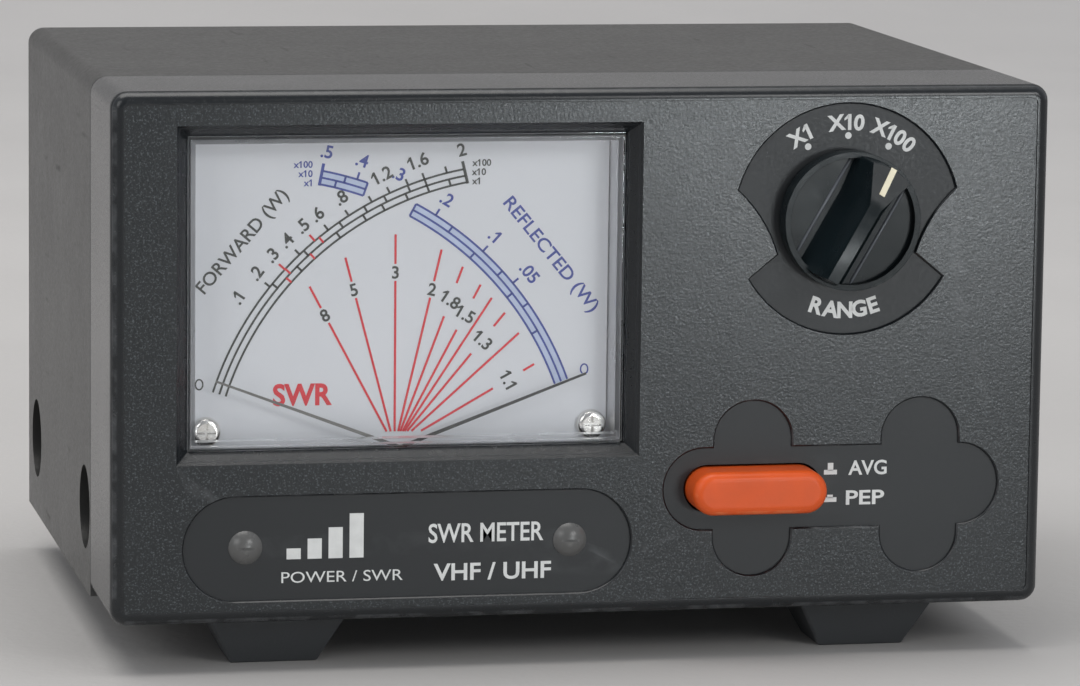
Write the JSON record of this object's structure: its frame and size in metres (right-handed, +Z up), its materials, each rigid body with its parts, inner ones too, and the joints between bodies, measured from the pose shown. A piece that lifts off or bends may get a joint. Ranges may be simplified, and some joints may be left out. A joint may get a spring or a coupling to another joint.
{
  "type": "swr meter",
  "caption": "Desktop cross-needle SWR and power meter with a range knob, a peak/average push button, four feet and two rear coaxial sockets.",
  "frame": {"origin": "centre of the bounding box on the surface that the feet stand on", "axes": "+X to the right seen from the front, +Y from the front panel to the rear, +Z up"},
  "size_m": [0.14, 0.1336, 0.0855],
  "materials": {
    "case_plastic": "fine spark-eroded grain on the faces, smooth satin in the recesses",
    "chassis_steel": "black satin coat",
    "foot_plastic": "fine grain",
    "black_screw": "black oxide",
    "bright_screw": "nickel plate",
    "clear_plastic": "clear moulded acrylic",
    "dial_face": "white printed face",
    "meter_plastic": "satin",
    "lamp_glass": "clear",
    "soft_iron": "plated",
    "magnet": "ground",
    "light_alloy": "stamped",
    "jewel": "polished stone",
    "spring_bronze": "rolled",
    "copper_wire": "enamelled copper winding",
    "pivot_steel": "polished",
    "grey_needle": "grey lacquer",
    "black_needle": "black lacquer",
    "brass_trim": "turned",
    "adjuster_grey": "satin",
    "knob_black": "polished moulding",
    "pointer_cream": "filled line",
    "switch_plastic": "satin",
    "switch_rotor": "phenolic",
    "nut_steel": "nickel plate",
    "button_orange": "satin moulding",
    "white_plastic": "natural",
    "board_green": "solder mask",
    "trimmer_blue": "moulded",
    "component_black": "moulded",
    "tin_plate": "tinned",
    "socket_nickel": "nickel plate",
    "socket_insulator": "natural",
    "contact_brass": "silver-flashed",
    "jack_plastic": "satin",
    "lead_jacket": "plain"
  },
  "bodies": {
    "case": {"front_bezel": "case_plastic", "case_cover": "case_plastic", "chassis_base": "chassis_steel", "rear_panel": "chassis_steel", "foot_front_left": "foot_plastic", "foot_front_right": "foot_plastic", "foot_rear_left": "foot_plastic", "foot_rear_right": "foot_plastic", "case_screws": "black_screw", "foot_screws": "black_screw", "dial_screws": "bright_screw", "meter_screws": "bright_screw", "board_screws": "bright_screw", "socket_screws": "bright_screw", "meter_cover": "clear_plastic", "meter_dial": "dial_face", "meter_base": "meter_plastic", "meter_lamps": "lamp_glass", "forward_yoke": "soft_iron", "reflected_yoke": "soft_iron", "forward_core_magnet": "magnet", "reflected_core_magnet": "magnet", "front_bridges": "light_alloy", "rear_bridges": "light_alloy", "jewel_bearings": "jewel", "hairsprings": "spring_bronze", "board_standoffs": "brass_trim", "coupler_line": "brass_trim", "range_switch_body": "switch_plastic", "mode_switch_body": "switch_plastic", "range_switch_nut": "nut_steel", "meter_board": "board_green", "range_trimmers": "trimmer_blue", "board_components": "component_black", "coupler_box": "tin_plate", "coupler_lid": "tin_plate", "transmitter_socket": "socket_nickel", "antenna_socket": "socket_nickel", "socket_insulators": "socket_insulator", "socket_contacts": "contact_brass", "power_jack": "jack_plastic", "sensor_leads": "lead_jacket"},
    "forward_movement": {"forward_coil": "copper_wire", "forward_staff": "pivot_steel", "forward_needle": "grey_needle", "forward_counterweight": "brass_trim"},
    "reflected_movement": {"reflected_coil": "copper_wire", "reflected_staff": "pivot_steel", "reflected_needle": "black_needle", "reflected_counterweight": "brass_trim"},
    "range_selector": {"range_knob": "knob_black", "knob_pointer": "pointer_cream", "range_switch_shaft": "pivot_steel", "range_switch_rotor": "switch_rotor"},
    "mode_selector": {"mode_button": "button_orange", "mode_switch_plunger": "white_plastic"},
    "forward_zero_screw": {"zero_adjuster_forward": "adjuster_grey"},
    "reflected_zero_screw": {"zero_adjuster_reflected": "adjuster_grey"},
    "forward_zero_lever": {"zero_lever_forward": "brass_trim"},
    "reflected_zero_lever": {"zero_lever_reflected": "brass_trim"}
  },
  "joints": [
    {"name": "forward_needle_swing", "type": "hinge", "parent": "case", "child": "forward_movement", "pos_m": [-0.0046, -0.0453, 0.0239], "axis": [0, 1, 0], "range_deg": [0, 59], "stiffness_Nm_per_rad": 0.0002, "springref_deg": -5.73},
    {"name": "reflected_needle_swing", "type": "hinge", "parent": "case", "child": "reflected_movement", "pos_m": [-0.0476, -0.0453, 0.0239], "axis": [0, -1, 0], "range_deg": [0, 59], "stiffness_Nm_per_rad": 0.0002, "springref_deg": -5.73},
    {"name": "range_turn", "type": "hinge", "parent": "case", "child": "range_selector", "pos_m": [0.0393, -0.0573, 0.0658], "axis": [0, 1, 0], "range_deg": [-60, 0]},
    {"name": "mode_push", "type": "slide", "parent": "case", "child": "mode_selector", "axis": [0, 1, 0], "range_m": [0, 0.0035], "stiffness_N_per_m": 400, "springref_m": -0.0008},
    {"name": "forward_zero_turn", "type": "hinge", "parent": "case", "child": "forward_zero_screw", "pos_m": [-0.00195, -0.0543, 0.0187], "axis": [0, 1, 0], "range_deg": [-30, 30]},
    {"name": "forward_zero_follow", "type": "hinge", "parent": "case", "child": "forward_zero_lever", "pos_m": [-0.0046, -0.0483, 0.0239], "axis": [0, 1, 0], "range_deg": [-7, 7]},
    {"name": "reflected_zero_turn", "type": "hinge", "parent": "case", "child": "reflected_zero_screw", "pos_m": [-0.05025, -0.0543, 0.0187], "axis": [0, 1, 0], "range_deg": [-30, 30]},
    {"name": "reflected_zero_follow", "type": "hinge", "parent": "case", "child": "reflected_zero_lever", "pos_m": [-0.0476, -0.0483, 0.0239], "axis": [0, 1, 0], "range_deg": [-7, 7]}
  ],
  "couplings": [
    {"joint": "forward_zero_follow", "follows": "forward_zero_turn", "ratio": -0.2068},
    {"joint": "reflected_zero_follow", "follows": "reflected_zero_turn", "ratio": -0.2068}
  ]
}
